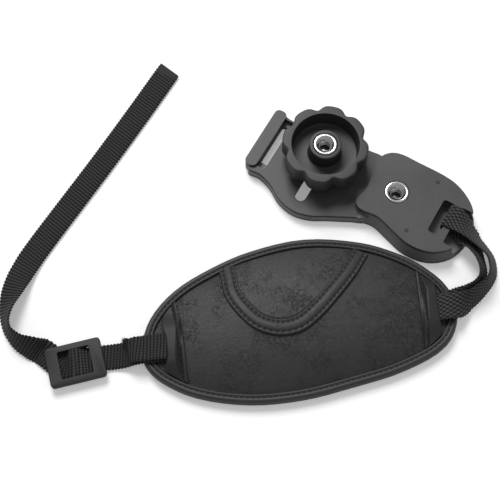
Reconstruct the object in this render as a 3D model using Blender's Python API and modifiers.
"""Camera hand grip strap: a padded hand pad between webbing straps, and a plate that screws under a camera.

Lengths are in metres and +Z is up. The origin is the tripod bush's axis at the plate's camera face, which
lies on the table. The plate's long axis runs from its strap bar to the bush, and its places are given along
and across that axis.
"""

import math

import bmesh
import bpy
import numpy
from mathutils import Matrix, Vector, geometry

# Between pieces that touch, and between layers of cloth
CLEARANCE = 0.0003

# Plate, measured along its long axis (x) and across it (y) from the tripod bush
PLATE_TURN = math.radians(-30.0)
PLATE_LOW = 0.0004
THIN_TOP = 0.0062
THIN_WALL_SLOPE = 0.0005
CREASE_BELOW_TOP = 0.0006
CREASE_WIDTH = 0.0005
CREASE_DEPTH = 0.0005
HOUSING_TOP = 0.0105
HOUSING_WALL_SLOPE = 0.0025
COVER_THICKNESS = 0.0013
COVER_OVERHANG = 0.0005
COVER_EDGE = 0.0003
BAR_LEFT = -0.0732
THIN_OUTLINE = [
    (BAR_LEFT + 0.0032, -0.0222), (BAR_LEFT + 0.0099, -0.0228), (-0.0561, -0.0251), (-0.0485, -0.0298),
    (-0.0395, -0.0318), (-0.0312, -0.0300), (-0.0239, -0.0260), (-0.0146, -0.0212),
    (-0.0050, -0.0150), (-0.0050, 0.0120), (-0.0159, 0.0156), (-0.0224, 0.0152),
    (-0.0400, 0.0146), (-0.0560, 0.0122), (BAR_LEFT + 0.0098, 0.0106), (BAR_LEFT + 0.0032, 0.0102),
]
HOUSING_OUTLINE = [
    (-0.0150, -0.0136), (-0.0116, -0.0166), (-0.0026, -0.0159), (0.0070, -0.0186),
    (0.0170, -0.0213), (0.0275, -0.0199), (0.0356, -0.0134), (0.0388, -0.0030),
    (0.0372, 0.0078), (0.0305, 0.0146), (0.0200, 0.0188), (0.0020, 0.0193),
    (-0.0095, 0.0187), (-0.0152, 0.0138), (-0.0156, 0.0060), (-0.0137, -0.0045),
]

# Strap bar and its slot at the plate's left end
BAR_WIDTH = 0.0062
BAR_LOW = -0.0215
BAR_HIGH = 0.0122
BAR_TOP = 0.0078
BAR_CORNER = 0.0024
BAR_SLOT_WIDTH = 0.0045
BAR_SLOT_LOW = -0.0160
BAR_SLOT_HIGH = 0.0072
BAR_POCKET_LENGTH = 0.0036
BAR_POCKET_FLOOR = 0.0034

# Slot for the camera screw, across the plate
SLOT_X = -0.0401
SLOT_WIDTH = 0.0055
SLOT_LOW = -0.0260
SLOT_HIGH = 0.0080
SLOT_WEB = 0.0020
POCKET_WIDTH = 0.0110

# Strap slot, crossbar and open notch at the plate's right end
LOOP_SLOT_X = 0.0216
LOOP_SLOT_WIDTH = 0.0057
LOOP_SLOT_LOW = -0.0107
LOOP_SLOT_HIGH = 0.0080
CROSSBAR_WIDTH = 0.0036
CROSSBAR_HEIGHT = 0.0036
NOTCH_LOW = -0.0126
NOTCH_HIGH = 0.0083
NOTCH_END = 0.0460
CAVITY_FLOOR = 0.0036

# Tripod bush, and the thumb wheel with its camera screw
BUSH_RADIUS = 0.0057
BUSH_DEPTH = 0.0082
BUSH_PROUD = 0.0001
THREAD_RADIUS = 0.003175
SOCKET_DEPTH = 0.0068
SOCKET_CHAMFER = 0.0006
THREAD_LENGTH = 0.0037
NECK_RADIUS = 0.0023
SHANK_GRIP = 0.0016
WASHER_RADIUS = 0.0055
WASHER_THICKNESS = 0.0008
WASHER_HOLE_GAP = 0.0004
WHEEL_UNDERSIDE = 0.0109
WHEEL_HUB_HEIGHT = 0.0017
WHEEL_HUB_RADIUS = 0.0165
WHEEL_RADIUS = 0.0209
WHEEL_RIM_HEIGHT = 0.0098
WHEEL_LOBES = 8
WHEEL_LOBE_ANGLE = math.radians(17.9)
WHEEL_NOTCH_DEPTH = 0.0027
WHEEL_NOTCH_SPREAD = math.radians(7.6)
WHEEL_EDGE = 0.0012
DISH_WALL = 0.00205
DISH_RADIUS = WHEEL_RADIUS - WHEEL_NOTCH_DEPTH - DISH_WALL
DISH_DEPTH = 0.0100
BOSS_RADIUS = 0.0078
BOSS_BELOW_RIM = 0.0006
WHEEL_BUSH_RADIUS = 0.0056
WHEEL_BUSH_ABOVE_HUB = 0.0008

# Rubber strips on the camera face: left, right, near and far edges on the plate
RUBBER_THICKNESS = 0.0012
RUBBER_CORNER = 0.0030
LONG_RUBBER = (-0.0310, 0.0175, -0.0120, 0.0110)
SHORT_RUBBER_FROM_BAR = 0.0132
SHORT_RUBBER_WIDTH = 0.0110
SHORT_RUBBER_LEFT = BAR_LEFT + SHORT_RUBBER_FROM_BAR
SHORT_RUBBER = (SHORT_RUBBER_LEFT, SHORT_RUBBER_LEFT + SHORT_RUBBER_WIDTH, -0.0185, 0.0075)

# Hand pad
PAD_OUTLINE = [
    (-0.1214, -0.0772), (-0.1179, -0.0626), (-0.1070, -0.0487), (-0.0900, -0.0372),
    (-0.0710, -0.0284), (-0.0453, -0.0222), (-0.0181, -0.0238), (0.0004, -0.0297),
    (0.0126, -0.0368), (0.0226, -0.0468), (0.0265, -0.0605), (0.0205, -0.0752),
    (0.0012, -0.0870), (-0.0236, -0.0952), (-0.0467, -0.1012), (-0.0710, -0.1035),
    (-0.0953, -0.1003), (-0.1120, -0.0928), (-0.1195, -0.0850),
]
PAD_CENTRE = (-0.0480, -0.0640)
PAD_CROWN = 0.0062
PAD_CROWN_POWER = 2.4
PAD_EDGE_THICKNESS = 0.0034
LEATHER_THICKNESS = 0.0011
BACKING_THICKNESS = 0.0012
BINDING_WIDTH = 0.0044
BINDING_WALL = 0.0009
PATCH_THICKNESS = 0.0006
PATCH_BAND_WIDTH = 0.0080
PATCH_BAND_THICKNESS = 0.0010
PATCH_BAND_ROUTE = [
    (-0.0812, -0.0420), (-0.0790, -0.0515), (-0.0734, -0.0600), (-0.0663, -0.0663),
    (-0.0570, -0.0688), (-0.0482, -0.0668), (-0.0405, -0.0605), (-0.0315, -0.0498),
    (-0.0243, -0.0400), (-0.0206, -0.0335),
]
TAB_THICKNESS = 0.0009
TAB_RISE_WIDTH = 0.0078
TAB_FALL_WIDTH = 0.0050
TAB_END_FALL = 0.0032
LEFT_TAB_OUTLINE = [
    (-0.1056, -0.0580), (-0.1020, -0.0730), (-0.0994, -0.0890), (-0.1040, -0.0892),
    (-0.1082, -0.0850), (-0.1096, -0.0760), (-0.1120, -0.0675), (-0.1104, -0.0620),
]
RIGHT_TAB_OUTLINE = [
    (0.0074, -0.0430), (0.0082, -0.0560), (0.0098, -0.0725), (0.0140, -0.0702),
    (0.0170, -0.0655), (0.0168, -0.0560), (0.0154, -0.0490), (0.0116, -0.0450),
]

# Webbing of all the straps
WEBBING_WIDTH = 0.0123
WEBBING_THICKNESS = 0.0011
WEBBING_EDGE = 0.0003
WEBBING_STEPS = 3

# Strap routes: places on the middle line, and the direction of the width
TAIL_PAD_WIDTH = (-0.12, 1.0, 0.0)
TAIL_ON_PAD = [(-0.1064, -0.0772), (-0.1104, -0.0777)]
TAIL_OVER_BINDING = [(-0.1150, -0.0782), (-0.1205, -0.0788)]
TAIL_DOWN = [
    ((-0.1248, -0.0792, 0.0052), (-0.13, 1.0, 0.0)),
    ((-0.1292, -0.0796, 0.0024), (-0.15, 1.0, 0.0)),
    ((-0.1340, -0.0800, 0.0010), (-0.19, 1.0, 0.0)),
]
TAIL_LEAVING = [
    (0.0022, 0.0004, 0.40, 5.0, -0.15), (0.0043, 0.0013, 0.0, 20.0, 0.0),
    (0.0063, 0.0029, 0.0, 37.0, 0.0), (0.0082, 0.0049, 0.0, 48.0, 0.0),
]
TAIL_FREE = [
    ((-0.1674, -0.0777, 0.0014), (0.64, 0.76, 0.04)),
    ((-0.1724, -0.0767, 0.0048), (0.53, 0.57, 0.60)),
    ((-0.1782, -0.0745, 0.0062), (0.40, 0.30, 0.87)),
    ((-0.1829, -0.0700, 0.0064), (0.33, 0.05, 0.94)),
    ((-0.1848, -0.0650, 0.0064), (0.42, -0.08, 0.90)),
    ((-0.1850, -0.0585, 0.0059), (0.62, -0.10, 0.78)),
    ((-0.1834, -0.0490, 0.0040), (0.87, -0.25, 0.41)),
    ((-0.1808, -0.0405, 0.0020), (1.0, -0.45, 0.15)),
    ((-0.1768, -0.0318, 0.0010), (1.0, -0.57, 0.0)),
    ((-0.1720, -0.0235, 0.0008), (1.0, -0.62, 0.00)),
    ((-0.1640, -0.0108, 0.0008), (1.0, -0.62, 0.00)),
    ((-0.1455, 0.0183, 0.0008), (1.0, -0.61, 0.00)),
    ((-0.1272, 0.0482, 0.0008), (1.0, -0.59, 0.00)),
    ((-0.1122, 0.0735, 0.0008), (0.95, -0.80, 0.00)),
]
STUB_ON_PAD = [(-0.1064, -0.0764), (-0.1104, -0.0769)]
STUB_OVER_BINDING = [(-0.1150, -0.0774), (-0.1205, -0.0782)]
STUB_DOWN = [
    ((-0.1240, -0.0784, 0.0078), (-0.22, 1.0, -0.09)),
    ((-0.1268, -0.0788, 0.0063), (-0.38, 1.0, -0.17)),
]
LOOP_PAD_WIDTH = (0.0, -1.0, 0.0)
LOOP_OUT_ON_PAD = [(0.0130, -0.0584), (0.0172, -0.0581)]
LOOP_OUT = [
    ((0.0213, -0.0577, 0.0088), (0.02, -1.0, 0.0)),
    ((0.0256, -0.0571, 0.0087), (0.16, -0.96, -0.22)),
    ((0.0290, -0.0558, 0.0076), (0.30, -0.68, -0.60)),
    ((0.0324, -0.0537, 0.0067), (0.36, -0.36, -0.85)),
    ((0.0366, -0.0502, 0.0065), (0.34, -0.28, -0.90)),
    ((0.0411, -0.0460, 0.0066), (0.30, -0.12, -0.93)),
    ((0.0438, -0.0410, 0.0065), (0.40, 0.05, -0.90)),
    ((0.0442, -0.0362, 0.0065), (0.44, 0.12, -0.88)),
    ((0.0433, -0.0318, 0.0067), (0.45, 0.22, -0.86)),
    ((0.0406, -0.0279, 0.0073), (0.45, 0.33, -0.82)),
    ((0.0375, -0.0247, 0.0084), (0.50, 0.38, -0.77)),
    ((0.0344, -0.0212, 0.0096), (0.52, 0.54, -0.64)),
    ((0.0312, -0.0177, 0.0106), (0.52, 0.76, -0.36)),
]
LOOP_ACROSS = 0.0012
LOOP_BACK = [
    ((0.0310, -0.0183, 0.0061), (0.50, 0.86, -0.03)),
    ((0.0340, -0.0227, 0.0063), (0.50, 0.78, -0.20)),
    ((0.0364, -0.0276, 0.0066), (0.50, 0.52, -0.66)),
    ((0.0384, -0.0328, 0.0066), (0.47, 0.25, -0.84)),
    ((0.0395, -0.0385, 0.0066), (0.44, 0.08, -0.88)),
    ((0.0386, -0.0438, 0.0066), (0.38, -0.08, -0.92)),
    ((0.0353, -0.0480, 0.0066), (0.30, -0.25, -0.92)),
    ((0.0312, -0.0512, 0.0066), (0.30, -0.48, -0.80)),
    ((0.0276, -0.0536, 0.0067), (0.22, -0.80, -0.48)),
    ((0.0234, -0.0556, 0.0069), (0.05, -1.0, -0.03)),
]
LOOP_BACK_ON_PAD = [(0.0172, -0.0568), (0.0130, -0.0571)]

# Slide buckle on the tail strap
GLIDE_CENTRE = (-0.1515, -0.0837)
GLIDE_TURN = math.radians(14.3)
GLIDE_LENGTH = 0.0262
GLIDE_WIDTH = 0.0192
GLIDE_LOW = 0.0020
GLIDE_THICKNESS = 0.0030
GLIDE_RAIL = 0.0029
GLIDE_END_BAR = 0.0056
GLIDE_CENTRE_BAR = 0.0028
GLIDE_CENTRE_BAR_HEIGHT = 0.0014
GLIDE_CORNER = 0.0018
GLIDE_EDGE = 0.0005

# Worked out from the sizes above
CROSSBAR_X = LOOP_SLOT_X + LOOP_SLOT_WIDTH
COVER_LOW = HOUSING_TOP - COVER_THICKNESS
WHEEL_TOP = WHEEL_UNDERSIDE + WHEEL_HUB_HEIGHT + WHEEL_RIM_HEIGHT
BINDING_TOP = 2 * BINDING_WALL + 2 * CLEARANCE + PAD_EDGE_THICKNESS
LEATHER_EDGE_TOP = BINDING_TOP - BINDING_WALL - CLEARANCE
BACKING_LOW = BINDING_WALL + CLEARANCE
CORE_LOW = BACKING_LOW + BACKING_THICKNESS + CLEARANCE
LAYER = WEBBING_THICKNESS + CLEARANCE

for old in list(bpy.data.objects):
    bpy.data.objects.remove(old)
parts = bpy.data.collections.new("camera_hand_grip_strap")
cutters = bpy.data.collections.new("cutters")
for group in (parts, cutters):
    bpy.context.scene.collection.children.link(group)


def finish(name, colour, roughness, metallic=0.0):
    """A plain material for one piece."""
    material = bpy.data.materials.new(name)
    material.use_nodes = True
    shader = material.node_tree.nodes["Principled BSDF"]
    shader.inputs["Base Color"].default_value = (*colour, 1.0)
    shader.inputs["Roughness"].default_value = roughness
    shader.inputs["Metallic"].default_value = metallic
    return material


def black_plastic(name, grey=0.055):
    return finish(name, (grey, grey, grey), 0.45)


def nickel(name):
    return finish(name, (0.75, 0.75, 0.76), 0.22, 1.0)


def leather(name):
    return finish(name, (0.045, 0.045, 0.046), 0.5)


def cloth(name, grey=0.03):
    return finish(name, (grey, grey, grey), 0.85)


def empty_at(name, place, turn=0.0, parent=None):
    """A guide that pieces are placed by."""
    guide = bpy.data.objects.new(name, None)
    parts.objects.link(guide)
    guide.parent = parent
    guide.location = place
    guide.rotation_euler = (0.0, 0.0, turn)
    return guide


def add_piece(name, mesh, material, parent=None):
    """Puts a mesh in the scene as one piece, with its round faces smooth."""
    mesh.shade_smooth()
    mesh.set_sharp_from_angle(angle=math.radians(35.0))
    mesh.materials.append(material)
    piece = bpy.data.objects.new(name, mesh)
    parts.objects.link(piece)
    piece.parent = parent
    return piece


def add_cutter(name, mesh, parent=None):
    cutter = bpy.data.objects.new(name, mesh)
    cutters.objects.link(cutter)
    cutter.parent = parent
    cutter.hide_render = True
    cutter.display_type = "WIRE"
    return cutter


def join_or_cut(piece, other, operation):
    step = piece.modifiers.new(other.name, "BOOLEAN")
    step.operation = operation
    step.solver = "EXACT"
    step.object = other


def round_edges(piece, width, segments=2):
    step = piece.modifiers.new("edges", "BEVEL")
    step.width = width
    step.segments = segments
    step.limit_method = "ANGLE"
    step.angle_limit = math.radians(50.0)


def smooth_line(points, steps, closed=False):
    """A line that runs smoothly through the given points."""
    points = [Vector(p).to_3d() for p in points]
    count = len(points)
    line = []
    for i in range(count if closed else count - 1):
        if closed:
            before, start, end, after = (points[(i + k) % count] for k in (-1, 0, 1, 2))
        else:
            before, start, end, after = (points[min(max(i + k, 0), count - 1)] for k in (-1, 0, 1, 2))
        reach = (end - start).length / 3
        leave = start + (end - before).normalized() * reach
        arrive = end - (after - start).normalized() * reach
        line.extend(geometry.interpolate_bezier(start, leave, arrive, end, steps + 1)[:-1])
    return line if closed else line + points[-1:]


def smooth_loop(points, steps=4):
    """A closed flat outline that runs smoothly through the given points."""
    return [(p.x, p.y) for p in smooth_line(points, steps, closed=True)]


def offset_loop(loop, distance):
    """The closed outline moved outward by a distance, or inward where it is negative."""
    area = sum(a[0] * b[1] - b[0] * a[1] for a, b in zip(loop, loop[1:] + loop[:1]))
    side = distance if area > 0 else -distance
    moved = []
    for before, here, after in zip(loop[-1:] + loop[:-1], loop, loop[1:] + loop[:1]):
        along = (Vector(after) - Vector(before)).normalized()
        moved.append((here[0] + along.y * side, here[1] - along.x * side))
    return moved


def rounded_rectangle(left, right, near, far, radius, steps=5):
    corners = [(right, far, 0), (left, far, 90), (left, near, 180), (right, near, 270)]
    loop = []
    for x, y, start in corners:
        cx = x - math.copysign(radius, x - (left + right) / 2)
        cy = y - math.copysign(radius, y - (near + far) / 2)
        for step in range(steps + 1):
            angle = math.radians(start + 90.0 * step / steps)
            loop.append((cx + radius * math.cos(angle), cy + radius * math.sin(angle)))
    return loop


def flat_mesh(name, loop, low, high):
    """A flat outline between two heights, made a closed mesh."""
    curve = bpy.data.curves.new(name, "CURVE")
    curve.dimensions = "2D"
    curve.fill_mode = "BOTH"
    curve.extrude = (high - low) / 2
    spline = curve.splines.new("POLY")
    spline.points.add(len(loop) - 1)
    for point, (x, y) in zip(spline.points, loop):
        point.co = (x, y, 0.0, 1.0)
    spline.use_cyclic_u = True
    guide = bpy.data.objects.new(name, curve)
    bpy.context.scene.collection.objects.link(guide)
    bpy.context.view_layer.update()
    mesh = bpy.data.meshes.new_from_object(guide.evaluated_get(bpy.context.evaluated_depsgraph_get()))
    bpy.data.objects.remove(guide)
    mesh.name = name
    mesh.transform(Matrix.Translation((0.0, 0.0, (low + high) / 2)))
    shape = bmesh.new()
    shape.from_mesh(mesh)
    bmesh.ops.remove_doubles(shape, verts=shape.verts, dist=1e-6)
    bmesh.ops.dissolve_limit(shape, angle_limit=math.radians(1.0), verts=shape.verts, edges=shape.edges)
    bmesh.ops.recalc_face_normals(shape, faces=shape.faces)
    shape.to_mesh(mesh)
    shape.free()
    return mesh


def stacked_mesh(name, rims):
    """A block whose outline changes evenly from each (loop, height) to the next, from its lower face up."""
    shape = bmesh.new()
    edges = []
    for loop, height in rims:
        verts = [shape.verts.new((x, y, height)) for x, y in loop]
        edges.append([shape.edges.new((a, b)) for a, b in zip(verts, verts[1:] + verts[:1])])
        if len(edges) > 1:
            bmesh.ops.bridge_loops(shape, edges=edges[-2] + edges[-1])
    for ends in (edges[0], edges[-1]):
        bmesh.ops.contextual_create(shape, geom=ends)
    return to_mesh(name, shape)


def to_mesh(name, shape):
    bmesh.ops.recalc_face_normals(shape, faces=shape.faces)
    mesh = bpy.data.meshes.new(name)
    shape.to_mesh(mesh)
    shape.free()
    return mesh


def turned_mesh(name, profile, steps):
    """A profile of (radius, height), down its outer side, turned about the upright axis."""
    mesh = bpy.data.meshes.new(name)
    mesh.from_pydata([(r, 0.0, z) for r, z in profile], [(i, i + 1) for i in range(len(profile) - 1)], [])
    guide = bpy.data.objects.new(name, mesh)
    bpy.context.scene.collection.objects.link(guide)
    turn = guide.modifiers.new("turn", "SCREW")
    turn.steps = turn.render_steps = steps
    turn.use_merge_vertices = True
    turn.merge_threshold = 0.00001
    bpy.context.view_layer.update()
    turned = bpy.data.meshes.new_from_object(guide.evaluated_get(bpy.context.evaluated_depsgraph_get()))
    bpy.data.objects.remove(guide)
    bpy.data.meshes.remove(mesh)
    turned.name = name
    return turned


def swept_mesh(name, stations, section, closed=False):
    """A section of (across, up) points carried along stations of (middle, across, up)."""
    shape = bmesh.new()
    rings = []
    for middle, across, up in stations:
        rings.append([shape.verts.new(middle + across * u + up * v) for u, v in section])
    edges = [[shape.edges.new((a, b)) for a, b in zip(ring, ring[1:] + ring[:1])] for ring in rings]
    pairs = list(zip(edges, edges[1:]))
    if closed:
        pairs.append((edges[-1], edges[0]))
    for first, second in pairs:
        bmesh.ops.bridge_loops(shape, edges=first + second)
    if not closed:
        shape.faces.new(rings[0])
        shape.faces.new(rings[-1])
    return to_mesh(name, shape)


def route_stations(route, steps=WEBBING_STEPS):
    """Stations along a smooth line through the route's middles, turned as its width directions say."""
    line = smooth_line([middle for middle, _ in route], steps)
    widths = [Vector(width).normalized() for _, width in route]
    stations = []
    for i, middle in enumerate(line):
        first, share = divmod(i, steps)
        width = widths[first].lerp(widths[min(first + 1, len(widths) - 1)], share / steps)
        along = (line[min(i + 1, len(line) - 1)] - line[max(i - 1, 0)]).normalized()
        up = along.cross(width).normalized()
        stations.append((middle, up.cross(along), up))
    return stations


def strip_section(width, thickness, edge):
    """A flat strip's section with its four long edges eased."""
    x, y = width / 2, thickness / 2
    return [
        (x, -y + edge), (x, y - edge), (x - edge, y), (edge - x, y),
        (-x, y - edge), (-x, -y + edge), (edge - x, -y), (x - edge, -y),
    ]


def make_webbing(name, route):
    mesh = swept_mesh(
        name, route_stations(route), strip_section(WEBBING_WIDTH, WEBBING_THICKNESS, WEBBING_EDGE)
    )
    return add_piece(name, mesh, cloth(name))


plate_frame = empty_at("plate_frame", (0.0, 0.0, 0.0), PLATE_TURN)
screw_axis = empty_at("screw_axis", (SLOT_X, 0.0, 0.0), 0.0, plate_frame)


def plate_point(x, y, z):
    """A place given along and across the plate, in the part's own frame."""
    return Matrix.Rotation(PLATE_TURN, 3, "Z") @ Vector((x, y, z))


def plate_direction(x, y):
    return plate_point(x, y, 0.0)


def make_base_plate():
    """The moulded plate: a thin end with a strap bar, and a raised housing at the other end."""
    thin = smooth_loop(THIN_OUTLINE)
    crease = offset_loop(thin, -CREASE_DEPTH)
    crease_top = THIN_TOP - CREASE_BELOW_TOP
    crease_low = crease_top - CREASE_WIDTH
    thin_end = stacked_mesh("base_plate", [
        (offset_loop(thin, THIN_WALL_SLOPE), PLATE_LOW), (thin, crease_low),
        (crease, crease_low + CREASE_WIDTH / 4), (crease, crease_top - CREASE_WIDTH / 4),
        (thin, crease_top), (thin, THIN_TOP),
    ])
    piece = add_piece("base_plate", thin_end, black_plastic("base_plate"), plate_frame)
    block_top = offset_loop(smooth_loop(HOUSING_OUTLINE), -COVER_OVERHANG)
    block_low = offset_loop(block_top, HOUSING_WALL_SLOPE)
    block = stacked_mesh(
        "housing_block", [(block_low, PLATE_LOW), (block_top, COVER_LOW - CLEARANCE)]
    )
    join_or_cut(piece, add_cutter("housing_block", block, plate_frame), "UNION")
    bar = rounded_rectangle(BAR_LEFT, BAR_LEFT + BAR_WIDTH, BAR_LOW, BAR_HIGH, BAR_CORNER)
    join_or_cut(
        piece, add_cutter("strap_bar", flat_mesh("strap_bar", bar, PLATE_LOW, BAR_TOP), plate_frame), "UNION"
    )
    far_below, far_above = -0.01, 0.03
    slot_left = BAR_LEFT + BAR_WIDTH
    slot_right = slot_left + BAR_SLOT_WIDTH
    pocket_low = BAR_SLOT_LOW - BAR_POCKET_LENGTH
    pocket_high = BAR_SLOT_HIGH + BAR_POCKET_LENGTH * 0.7
    openings = [
        ("bar_slot", slot_left, slot_right, BAR_SLOT_LOW, BAR_SLOT_HIGH, 0.0009, far_below, far_above),
        ("bar_pockets", slot_left, slot_right, pocket_low, pocket_high, 0.0006, BAR_POCKET_FLOOR, far_above),
        ("screw_slot", SLOT_X - SLOT_WIDTH / 2, SLOT_X + SLOT_WIDTH / 2, SLOT_LOW, SLOT_HIGH,
         SLOT_WIDTH / 2 - 0.00001, far_below, far_above),
        ("screw_pocket", SLOT_X - POCKET_WIDTH / 2, SLOT_X + POCKET_WIDTH / 2,
         SLOT_LOW - (POCKET_WIDTH - SLOT_WIDTH) / 2, SLOT_HIGH + (POCKET_WIDTH - SLOT_WIDTH) / 2,
         POCKET_WIDTH / 2 - 0.00001, far_below, THIN_TOP - SLOT_WEB),
        ("loop_slot", LOOP_SLOT_X, CROSSBAR_X + CROSSBAR_WIDTH, LOOP_SLOT_LOW, LOOP_SLOT_HIGH, 0.0012,
         CAVITY_FLOOR, far_above),
        ("loop_notch", CROSSBAR_X - CLEARANCE, NOTCH_END, NOTCH_LOW, NOTCH_HIGH, 0.0008,
         CAVITY_FLOOR, far_above),
    ]
    for name, left, right, near, far, corner, low, high in openings:
        hole = flat_mesh(name, rounded_rectangle(left, right, near, far, corner), low, high)
        join_or_cut(piece, add_cutter(name, hole, plate_frame), "DIFFERENCE")
    for name, (left, right, near, far) in (("long_seat", LONG_RUBBER), ("short_seat", SHORT_RUBBER)):
        seat = rounded_rectangle(
            left - CLEARANCE, right + CLEARANCE, near - CLEARANCE, far + CLEARANCE, RUBBER_CORNER + CLEARANCE
        )
        hole = flat_mesh(name, seat, far_below, RUBBER_THICKNESS + CLEARANCE)
        join_or_cut(piece, add_cutter(name, hole, plate_frame), "DIFFERENCE")
    bush_seat = turned_mesh(
        "bush_seat",
        [
            (0.0, far_above), (BUSH_RADIUS + CLEARANCE, far_above),
            (BUSH_RADIUS + CLEARANCE, HOUSING_TOP + BUSH_PROUD - BUSH_DEPTH - CLEARANCE),
            (0.0, HOUSING_TOP + BUSH_PROUD - BUSH_DEPTH - CLEARANCE),
        ],
        32,
    )
    join_or_cut(piece, add_cutter("bush_seat", bush_seat, plate_frame), "DIFFERENCE")


def make_plate_cover():
    """The cover on the housing, with the crossbar that holds the strap loop."""
    outline = smooth_loop(HOUSING_OUTLINE)
    piece = add_piece(
        "plate_cover", flat_mesh("plate_cover", outline, COVER_LOW, HOUSING_TOP),
        black_plastic("plate_cover"), plate_frame,
    )
    crossbar = rounded_rectangle(
        CROSSBAR_X, CROSSBAR_X + CROSSBAR_WIDTH, NOTCH_LOW + CLEARANCE, LOOP_SLOT_HIGH - CLEARANCE, 0.0008
    )
    bar = flat_mesh("crossbar", crossbar, HOUSING_TOP - CROSSBAR_HEIGHT, HOUSING_TOP - COVER_EDGE)
    join_or_cut(piece, add_cutter("crossbar", bar, plate_frame), "UNION")
    low, high = COVER_LOW - 0.001, HOUSING_TOP + 0.001
    slot = rounded_rectangle(LOOP_SLOT_X, CROSSBAR_X, LOOP_SLOT_LOW, LOOP_SLOT_HIGH, 0.0014)
    notch = rounded_rectangle(CROSSBAR_X + CROSSBAR_WIDTH, NOTCH_END, NOTCH_LOW, NOTCH_HIGH, 0.0010)
    for name, loop in (("cover_slot", slot), ("cover_notch", notch)):
        hole = flat_mesh(name, loop, HOUSING_TOP - CROSSBAR_HEIGHT - 0.001, high)
        join_or_cut(piece, add_cutter(name, hole, plate_frame), "DIFFERENCE")
    bush_hole = turned_mesh(
        "bush_hole",
        [(0.0, high), (BUSH_RADIUS + CLEARANCE, high), (BUSH_RADIUS + CLEARANCE, low), (0.0, low)],
        32,
    )
    join_or_cut(piece, add_cutter("bush_hole", bush_hole, plate_frame), "DIFFERENCE")


def make_tripod_bush():
    """The threaded metal bush in the housing."""
    top = HOUSING_TOP + BUSH_PROUD
    profile = [
        (0.0, top - SOCKET_DEPTH), (THREAD_RADIUS, top - SOCKET_DEPTH),
        (THREAD_RADIUS, top - SOCKET_CHAMFER), (THREAD_RADIUS + SOCKET_CHAMFER, top),
        (BUSH_RADIUS - 0.0003, top), (BUSH_RADIUS, top - 0.0003),
        (BUSH_RADIUS, top - BUSH_DEPTH), (0.0, top - BUSH_DEPTH),
    ]
    add_piece("tripod_bush", turned_mesh("tripod_bush", profile, 32), nickel("tripod_bush"), plate_frame)


def make_rubber_strips():
    """Two rubber strips let into the camera face on either side of the screw."""
    for name, (left, right, near, far) in (("long_rubber", LONG_RUBBER), ("short_rubber", SHORT_RUBBER)):
        loop = rounded_rectangle(left, right, near, far, RUBBER_CORNER)
        rubber = finish(name, (0.02, 0.02, 0.02), 0.9)
        add_piece(name, flat_mesh(name, loop, 0.0, RUBBER_THICKNESS), rubber, plate_frame)


def wheel_loop():
    """The wheel's outline: a circle with an even ring of rounded notches."""
    count = WHEEL_LOBES * 14
    loop = []
    for i in range(count):
        angle = math.tau * i / count
        pitch = math.tau / WHEEL_LOBES
        from_notch = (angle - WHEEL_LOBE_ANGLE + pitch) % pitch - pitch / 2
        radius = WHEEL_RADIUS - WHEEL_NOTCH_DEPTH * math.exp(-((from_notch / WHEEL_NOTCH_SPREAD) ** 2))
        loop.append((radius * math.cos(angle), radius * math.sin(angle)))
    return loop


def make_thumb_wheel():
    """The lobed thumb wheel, with a deep dish and a boss that holds its bush."""
    rim_low = WHEEL_UNDERSIDE + WHEEL_HUB_HEIGHT
    piece = add_piece(
        "thumb_wheel", flat_mesh("thumb_wheel", wheel_loop(), rim_low, WHEEL_TOP),
        black_plastic("thumb_wheel"), screw_axis,
    )
    round_edges(piece, WHEEL_EDGE)
    overlap = 0.001
    hub = turned_mesh(
        "wheel_hub",
        [(0.0, rim_low + overlap), (WHEEL_HUB_RADIUS, rim_low + overlap),
         (WHEEL_HUB_RADIUS, WHEEL_UNDERSIDE), (0.0, WHEEL_UNDERSIDE)],
        48,
    )
    join_or_cut(piece, add_cutter("wheel_hub", hub, screw_axis), "UNION")
    floor = WHEEL_TOP - DISH_DEPTH
    above = WHEEL_TOP + 0.004
    fillet = 0.0010
    dish = turned_mesh(
        "wheel_dish",
        [
            (0.0, above), (DISH_RADIUS + 0.0006, above), (DISH_RADIUS + 0.0006, WHEEL_TOP),
            (DISH_RADIUS, WHEEL_TOP - 0.0006), (DISH_RADIUS, floor + fillet), (DISH_RADIUS - fillet, floor),
            (BOSS_RADIUS + fillet, floor), (BOSS_RADIUS, floor + fillet),
            (BOSS_RADIUS, WHEEL_TOP - BOSS_BELOW_RIM - 0.0004),
            (BOSS_RADIUS - 0.0004, WHEEL_TOP - BOSS_BELOW_RIM), (0.0, WHEEL_TOP - BOSS_BELOW_RIM),
        ],
        48,
    )
    join_or_cut(piece, add_cutter("wheel_dish", dish, screw_axis), "DIFFERENCE")
    bore_radius = WHEEL_BUSH_RADIUS + CLEARANCE
    bore = turned_mesh(
        "wheel_bore", [(0.0, above), (bore_radius, above), (bore_radius, 0.0), (0.0, 0.0)], 32
    )
    join_or_cut(piece, add_cutter("wheel_bore", bore, screw_axis), "DIFFERENCE")


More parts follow.
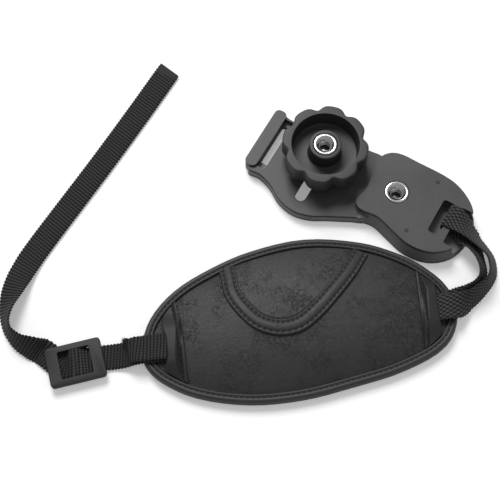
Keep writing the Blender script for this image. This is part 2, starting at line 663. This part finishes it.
def make_screw_parts():
    """The bush in the wheel, the camera screw pressed into it from below, and the washer on its neck."""
    top = WHEEL_TOP - BOSS_BELOW_RIM + BUSH_PROUD
    low = WHEEL_UNDERSIDE + WHEEL_BUSH_ABOVE_HUB
    shank_bore = NECK_RADIUS + CLEARANCE
    shank_top = low + SHANK_GRIP
    bush = [
        (0.0, top - SOCKET_DEPTH), (THREAD_RADIUS, top - SOCKET_DEPTH),
        (THREAD_RADIUS, top - SOCKET_CHAMFER),
        (THREAD_RADIUS + SOCKET_CHAMFER, top), (WHEEL_BUSH_RADIUS - 0.0003, top),
        (WHEEL_BUSH_RADIUS, top - 0.0003), (WHEEL_BUSH_RADIUS, low), (shank_bore, low),
        (shank_bore, shank_top + CLEARANCE), (0.0, shank_top + CLEARANCE),
    ]
    add_piece("wheel_bush", turned_mesh("wheel_bush", bush, 32), nickel("wheel_bush"), screw_axis)
    chamfer = 0.0005
    screw = [
        (0.0, shank_top), (NECK_RADIUS, shank_top), (NECK_RADIUS, THREAD_LENGTH),
        (THREAD_RADIUS - chamfer, THREAD_LENGTH), (THREAD_RADIUS, THREAD_LENGTH - chamfer),
        (THREAD_RADIUS, chamfer), (THREAD_RADIUS - chamfer, 0.0), (0.0, 0.0),
    ]
    add_piece("camera_screw", turned_mesh("camera_screw", screw, 32), nickel("camera_screw"), screw_axis)
    washer_low = THIN_TOP + CLEARANCE
    washer_hole = NECK_RADIUS + WASHER_HOLE_GAP
    washer = [
        (washer_hole, washer_low + WASHER_THICKNESS), (WASHER_RADIUS, washer_low + WASHER_THICKNESS),
        (WASHER_RADIUS, washer_low), (washer_hole, washer_low), (washer_hole, washer_low + WASHER_THICKNESS),
    ]
    ring = turned_mesh("slide_washer", washer, 32)
    add_piece("slide_washer", ring, black_plastic("slide_washer", 0.03), screw_axis)


pad_loop = smooth_loop(PAD_OUTLINE)
field_loop = offset_loop(pad_loop, -BINDING_WIDTH - CLEARANCE)
field_polar = sorted(
    (math.atan2(y - PAD_CENTRE[1], x - PAD_CENTRE[0]), math.hypot(x - PAD_CENTRE[0], y - PAD_CENTRE[1]))
    for x, y in field_loop
)
field_angles = [angle for angle, _ in field_polar]
field_reach = [reach for _, reach in field_polar]


def dome(x, y):
    """Height of the leather's upper face: level under the binding, and crowned inside it."""
    dx, dy = x - PAD_CENTRE[0], y - PAD_CENTRE[1]
    reach = numpy.interp(math.atan2(dy, dx), field_angles, field_reach, period=math.tau)
    share = min(math.hypot(dx, dy) / reach, 1.0)
    return LEATHER_EDGE_TOP + PAD_CROWN * (1.0 - share**PAD_CROWN_POWER)


def crowned_face(shape, loops, rings, height):
    """Fills an outline, through the others inside it and then rings, at a varying height; gives its rim."""
    inner = loops[-1]
    cx = sum(x for x, _ in inner) / len(inner)
    cy = sum(y for _, y in inner) / len(inner)
    shares = [1.0 - ring / rings for ring in range(1, rings)]
    edges = []
    for loop in loops + [[(cx + (x - cx) * s, cy + (y - cy) * s) for x, y in inner] for s in shares]:
        verts = [shape.verts.new((x, y, height(x, y))) for x, y in loop]
        edges.append([shape.edges.new((a, b)) for a, b in zip(verts, verts[1:] + verts[:1])])
        if len(edges) > 1:
            bmesh.ops.bridge_loops(shape, edges=edges[-2] + edges[-1])
    hub = shape.verts.new((cx, cy, height(cx, cy)))
    for edge in edges[-1]:
        shape.faces.new((*edge.verts, hub))
    return edges[0]


def sheet_mesh(name, loops, rings, low, high):
    """A sheet within an outline, between two varying heights."""
    shape = bmesh.new()
    rims = crowned_face(shape, loops, rings, high) + crowned_face(shape, loops, rings, low)
    bmesh.ops.bridge_loops(shape, edges=rims)
    return to_mesh(name, shape)


def cushion_mesh(name, loops, rings, floor, high):
    """A crowned block on a level underside."""
    shape = bmesh.new()
    rim = crowned_face(shape, loops, rings, high)
    underside = shape.faces.new([shape.verts.new((x, y, floor)) for x, y in loops[0]])
    bmesh.ops.bridge_loops(shape, edges=rim + list(underside.edges))
    return to_mesh(name, shape)


def make_pad_layers():
    """The pad's lining, foam and leather, whose edges all lie inside the binding."""
    loop = offset_loop(pad_loop, -BINDING_WALL - CLEARANCE)
    backing = flat_mesh("pad_backing", loop, BACKING_LOW, BACKING_LOW + BACKING_THICKNESS)
    add_piece("pad_backing", backing, cloth("pad_backing"))
    core = cushion_mesh(
        "pad_core", [loop, field_loop], 5, CORE_LOW,
        lambda x, y: dome(x, y) - LEATHER_THICKNESS - CLEARANCE,
    )
    add_piece("pad_core", core, finish("pad_core", (0.1, 0.1, 0.1), 0.95))
    top = sheet_mesh(
        "pad_leather", [loop, field_loop], 6, lambda x, y: dome(x, y) - LEATHER_THICKNESS, dome
    )
    add_piece("pad_leather", top, leather("pad_leather"))


def make_edge_binding():
    """The tape that is folded round the pad's edge and sewn through it."""
    w, t, high = BINDING_WIDTH, BINDING_WALL, BINDING_TOP
    middle = high / 2
    section = [
        (-w, high), (-0.0016, high), (-0.0005, high - 0.0008), (0.0, middle + 0.0006),
        (0.0, middle - 0.0006), (-0.0005, 0.0007), (-0.0014, 0.0), (-w, 0.0),
        (-w, t), (-t, t), (-t, high - t), (-w, high - t),
    ]
    stations = []
    outward = offset_loop(pad_loop, 1.0)
    for (x, y), (ox, oy) in zip(pad_loop, outward):
        stations.append((Vector((x, y, 0.0)), Vector((ox - x, oy - y, 0.0)), Vector((0.0, 0.0, 1.0))))
    tape = swept_mesh("edge_binding", stations, section, closed=True)
    add_piece("edge_binding", tape, cloth("edge_binding", 0.05))


def on_pad(x, y, layer=0):
    """Where the middle of a webbing layer lies above the leather."""
    return (x, y, dome(x, y) + CLEARANCE + WEBBING_THICKNESS / 2 + layer * LAYER)


def make_patch():
    """The U-shaped sewn band on the pad's front, and the leather patch inside it."""
    lift = CLEARANCE + PATCH_BAND_THICKNESS / 2
    flat_route = [((x, y, 0.0), (0.0, 0.0, 1.0)) for x, y in PATCH_BAND_ROUTE]
    middles = [middle for middle, _, _ in route_stations(flat_route, 2)]
    stations = []
    inner = []
    for i, middle in enumerate(middles):
        along = (middles[min(i + 1, len(middles) - 1)] - middles[max(i - 1, 0)]).normalized()
        across = Vector((along.y, -along.x, 0.0))
        half = PATCH_BAND_WIDTH / 2
        left, right = middle + across * half, middle - across * half
        left.z = dome(left.x, left.y)
        right.z = dome(right.x, right.y)
        centre = (left + right) / 2
        centre.z = max(centre.z, dome(centre.x, centre.y) + 0.0001) + lift
        slope = (left - right).normalized()
        stations.append((centre, slope, slope.cross(along).normalized() * -1.0))
        edge = middle - across * (half + CLEARANCE)
        inner.append((edge.x, edge.y))
    section = strip_section(PATCH_BAND_WIDTH, PATCH_BAND_THICKNESS, PATCH_BAND_THICKNESS * 0.3)
    add_piece("patch_band", swept_mesh("patch_band", stations, section), leather("patch_band"))
    near_edge = offset_loop(field_loop, -CLEARANCE)
    ends = sorted((inner[0][0], inner[-1][0]))
    top = [p for p in near_edge if ends[0] + 0.002 < p[0] < ends[1] - 0.002 and p[1] > PAD_CENTRE[1]]
    loop = inner + sorted(top, key=lambda p: -p[0])
    patch = sheet_mesh(
        "front_patch", [loop], 3,
        lambda x, y: dome(x, y) + CLEARANCE,
        lambda x, y: dome(x, y) + CLEARANCE + PATCH_THICKNESS,
    )
    add_piece("front_patch", patch, leather("front_patch"))


def make_end_tab(name, outline, strap_start, side):
    """A leather tab over the webbing's sewn end: raised over the webbing, and down on the pad elsewhere."""
    rise = 2 * LAYER + 0.0002
    strap_end = strap_start[0] - side * 0.0008
    strap_y = strap_start[1]

    def low(x, y):
        over = 1.0 - (abs(y - strap_y) - TAB_RISE_WIDTH) / TAB_FALL_WIDTH
        past = 1.0 + (x - strap_end) * side / TAB_END_FALL
        share = max(0.0, min(1.0, over, past))
        return dome(x, y) + CLEARANCE + rise * share * share * (3.0 - 2.0 * share)

    mesh = sheet_mesh(name, [smooth_loop(outline)], 5, low, lambda x, y: low(x, y) + TAB_THICKNESS)
    add_piece(name, mesh, leather(name))


def glide_point(along, across, z):
    """A place given along and across the slide buckle, in the part's own frame."""
    turned = Matrix.Rotation(GLIDE_TURN, 3, "Z") @ Vector((along, across, 0.0))
    return (GLIDE_CENTRE[0] + turned.x, GLIDE_CENTRE[1] + turned.y, z)


def make_tri_glide():
    """The slide buckle: a frame with two wide end bars and a low centre bar."""
    half_length, half_width = GLIDE_LENGTH / 2, GLIDE_WIDTH / 2
    window_end = half_length - GLIDE_END_BAR
    window_side = half_width - GLIDE_RAIL
    buckle = empty_at("buckle_frame", (*GLIDE_CENTRE, 0.0), GLIDE_TURN)
    loop = rounded_rectangle(-half_length, half_length, -half_width, half_width, GLIDE_CORNER)
    top = GLIDE_LOW + GLIDE_THICKNESS
    piece = add_piece(
        "tri_glide", flat_mesh("tri_glide", loop, GLIDE_LOW, top), black_plastic("tri_glide"), buckle
    )
    round_edges(piece, GLIDE_EDGE)
    bar = GLIDE_CENTRE_BAR / 2
    for name, left, right in (("near_window", -window_end, -bar), ("far_window", bar, window_end)):
        window = rounded_rectangle(left, right, -window_side, window_side, 0.0008)
        hole = flat_mesh(name, window, -0.01, top + 0.01)
        join_or_cut(piece, add_cutter(name, hole, buckle), "DIFFERENCE")
    above = rounded_rectangle(-bar - 0.001, bar + 0.001, -window_side, window_side, 0.0008)
    hole = flat_mesh("bar_space", above, GLIDE_LOW + GLIDE_CENTRE_BAR_HEIGHT, top + 0.01)
    join_or_cut(piece, add_cutter("bar_space", hole, buckle), "DIFFERENCE")


def make_left_straps():
    """The tail strap, laced through the slide buckle, and the short stub sewn on top of it."""
    over_binding = BINDING_TOP + CLEARANCE + WEBBING_THICKNESS / 2 + 0.0002
    bar_half = GLIDE_CENTRE_BAR / 2
    window_end = GLIDE_LENGTH / 2 - GLIDE_END_BAR
    under = GLIDE_LOW - CLEARANCE - WEBBING_THICKNESS / 2 - 0.0001
    over = GLIDE_LOW + GLIDE_CENTRE_BAR_HEIGHT + CLEARANCE + WEBBING_THICKNESS / 2 + 0.0002
    slope = (window_end + bar_half) / 2
    tail = [(on_pad(*place), TAIL_PAD_WIDTH) for place in TAIL_ON_PAD]
    tail += [((x, y, over_binding), TAIL_PAD_WIDTH) for x, y in TAIL_OVER_BINDING]
    tail += TAIL_DOWN
    buckle_width = tuple(Matrix.Rotation(GLIDE_TURN, 3, "Z") @ Vector((0.0, 1.0, 0.0)))
    for along, z in (
        (GLIDE_LENGTH / 2 - 0.001, under), (window_end + 0.0004, under), (slope, (under + over) / 2),
        (bar_half + 0.0003, over), (0.0, over), (-bar_half - 0.0003, over),
    ):
        tail.append((glide_point(along, 0.0, z), buckle_width))
    for past, across, share, turn, dip in TAIL_LEAVING:
        middle = glide_point(-bar_half - 0.0003 - past, across, under + (over - under) * share)
        angle = GLIDE_TURN - math.radians(turn)
        tail.append((middle, (-math.sin(angle), math.cos(angle), dip)))
    make_webbing("tail_strap", tail + TAIL_FREE)
    stub = [(on_pad(*place, layer=1), TAIL_PAD_WIDTH) for place in STUB_ON_PAD]
    stub += [((x, y, over_binding + LAYER), TAIL_PAD_WIDTH) for x, y in STUB_OVER_BINDING]
    make_webbing("stub_strap", stub + STUB_DOWN)


def crossbar_wrap():
    """The strap's way round the crossbar: over it, down through the slot and back under it."""
    reach = CLEARANCE + WEBBING_THICKNESS / 2 + 0.0001
    high = HOUSING_TOP
    low = HOUSING_TOP - CROSSBAR_HEIGHT
    way = [(CROSSBAR_X + CROSSBAR_WIDTH, high + reach)]
    for corner_z, start in ((high, 90), (low, 180)):
        for step in range(4):
            angle = math.radians(start + 30 * step)
            way.append((CROSSBAR_X + reach * math.cos(angle), corner_z + reach * math.sin(angle)))
    way.append((CROSSBAR_X + CROSSBAR_WIDTH, low - reach))
    width = tuple(plate_direction(0.0, 1.0))
    return [(tuple(plate_point(x, LOOP_ACROSS, z)), width) for x, z in way]


def make_loop_strap():
    """The strap that joins the pad's right end to the plate, doubled round the crossbar."""
    out = [(on_pad(*place, layer=1), LOOP_PAD_WIDTH) for place in LOOP_OUT_ON_PAD]
    back = [(on_pad(*place), LOOP_PAD_WIDTH) for place in LOOP_BACK_ON_PAD]
    make_webbing("loop_strap", out + LOOP_OUT + crossbar_wrap() + LOOP_BACK + back)


make_base_plate()
make_plate_cover()
make_tripod_bush()
make_rubber_strips()
make_thumb_wheel()
make_screw_parts()
make_pad_layers()
make_edge_binding()
make_patch()
make_end_tab("left_tab", LEFT_TAB_OUTLINE, TAIL_ON_PAD[0], -1.0)
make_end_tab("right_tab", RIGHT_TAB_OUTLINE, LOOP_BACK_ON_PAD[-1], 1.0)
make_tri_glide()
make_left_straps()
make_loop_strap()
